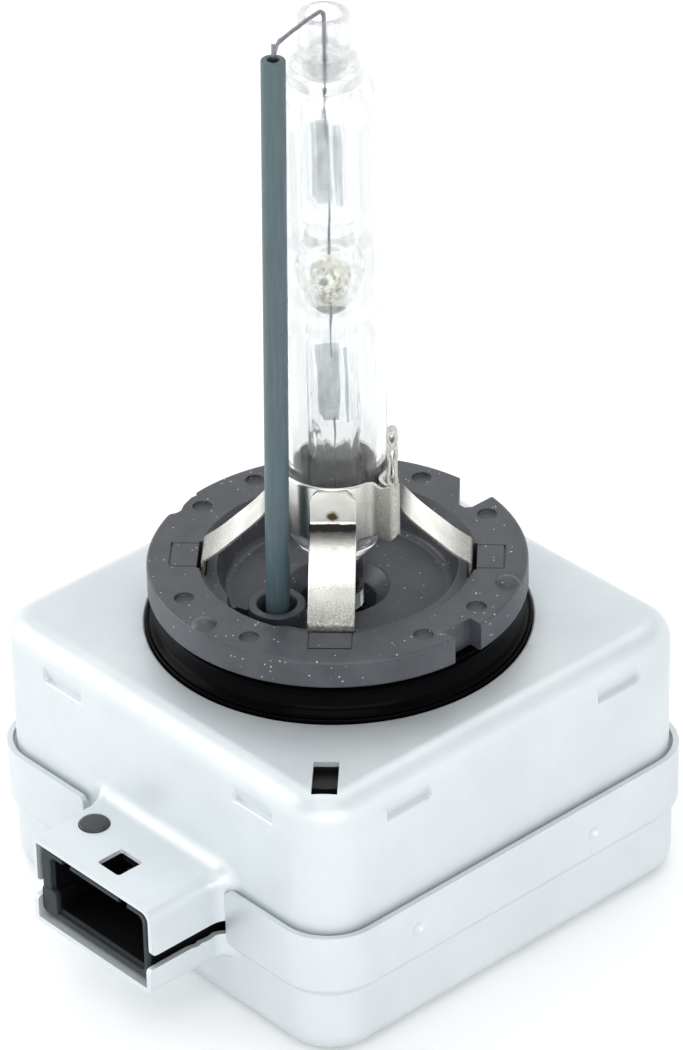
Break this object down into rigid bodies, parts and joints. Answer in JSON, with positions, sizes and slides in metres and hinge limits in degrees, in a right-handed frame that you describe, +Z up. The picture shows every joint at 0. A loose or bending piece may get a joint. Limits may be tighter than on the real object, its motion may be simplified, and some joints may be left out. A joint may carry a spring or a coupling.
{
  "type": "xenon headlight bulb",
  "caption": "Gas-discharge headlight bulb: quartz burner held by sprung legs in a keyed cap ring, on a square shielded igniter base with a side plug socket.",
  "frame": {"origin": "centre of the cap ring's top face, on the burner's axis", "axes": "+Z up the burner, -Y out of the plug socket, +X to the right of the plug"},
  "size_m": [0.0434, 0.0513, 0.0819],
  "materials": {
    "clear_quartz": "polished",
    "inner_quartz": "polished",
    "tungsten": "drawn",
    "molybdenum": "satin",
    "lead_metal": "drawn",
    "metal_salt": "powdery",
    "ceramic": "glazed",
    "nickel_sheet": "bright rolled",
    "cap_plastic": "moulded",
    "seal_rubber": "smooth",
    "shield_sheet": "satin drawn",
    "housing_plastic": "moulded",
    "socket_plastic": "moulded",
    "plug_plastic": "moulded",
    "contact_metal": "tinned",
    "board_laminate": "solder mask",
    "ferrite": "sintered",
    "bobbin_plastic": "moulded",
    "winding_copper": "enamelled",
    "component_ceramic": "fired",
    "capacitor_coat": "dipped"
  },
  "bodies": {
    "root": {"outer_bulb": "clear_quartz", "arc_tube": "inner_quartz", "upper_electrode": "tungsten", "lower_electrode": "tungsten", "upper_foil": "molybdenum", "lower_foil": "molybdenum", "upper_lead": "lead_metal", "lower_lead": "lead_metal", "salt_deposit": "metal_salt", "return_wire": "lead_metal", "ceramic_tube": "ceramic", "clamp_band": "nickel_sheet", "leg_front": "nickel_sheet", "leg_right": "nickel_sheet", "leg_rear": "nickel_sheet", "leg_left": "nickel_sheet", "cap_ring": "cap_plastic", "seal_collar": "seal_rubber", "upper_shield": "shield_sheet", "lower_shield": "shield_sheet", "inner_housing": "housing_plastic", "housing_lid": "housing_plastic", "socket_frame": "socket_plastic", "locating_plug": "plug_plastic", "contact_pins": "contact_metal", "circuit_board": "board_laminate", "ferrite_core": "ferrite", "coil_bobbin": "bobbin_plastic", "secondary_winding": "winding_copper", "primary_winding": "winding_copper", "spark_gap": "component_ceramic", "impulse_capacitor": "capacitor_coat", "bleed_resistor": "component_ceramic", "filter_coil": "winding_copper", "hv_contact": "contact_metal"}
  },
  "joints": []
}
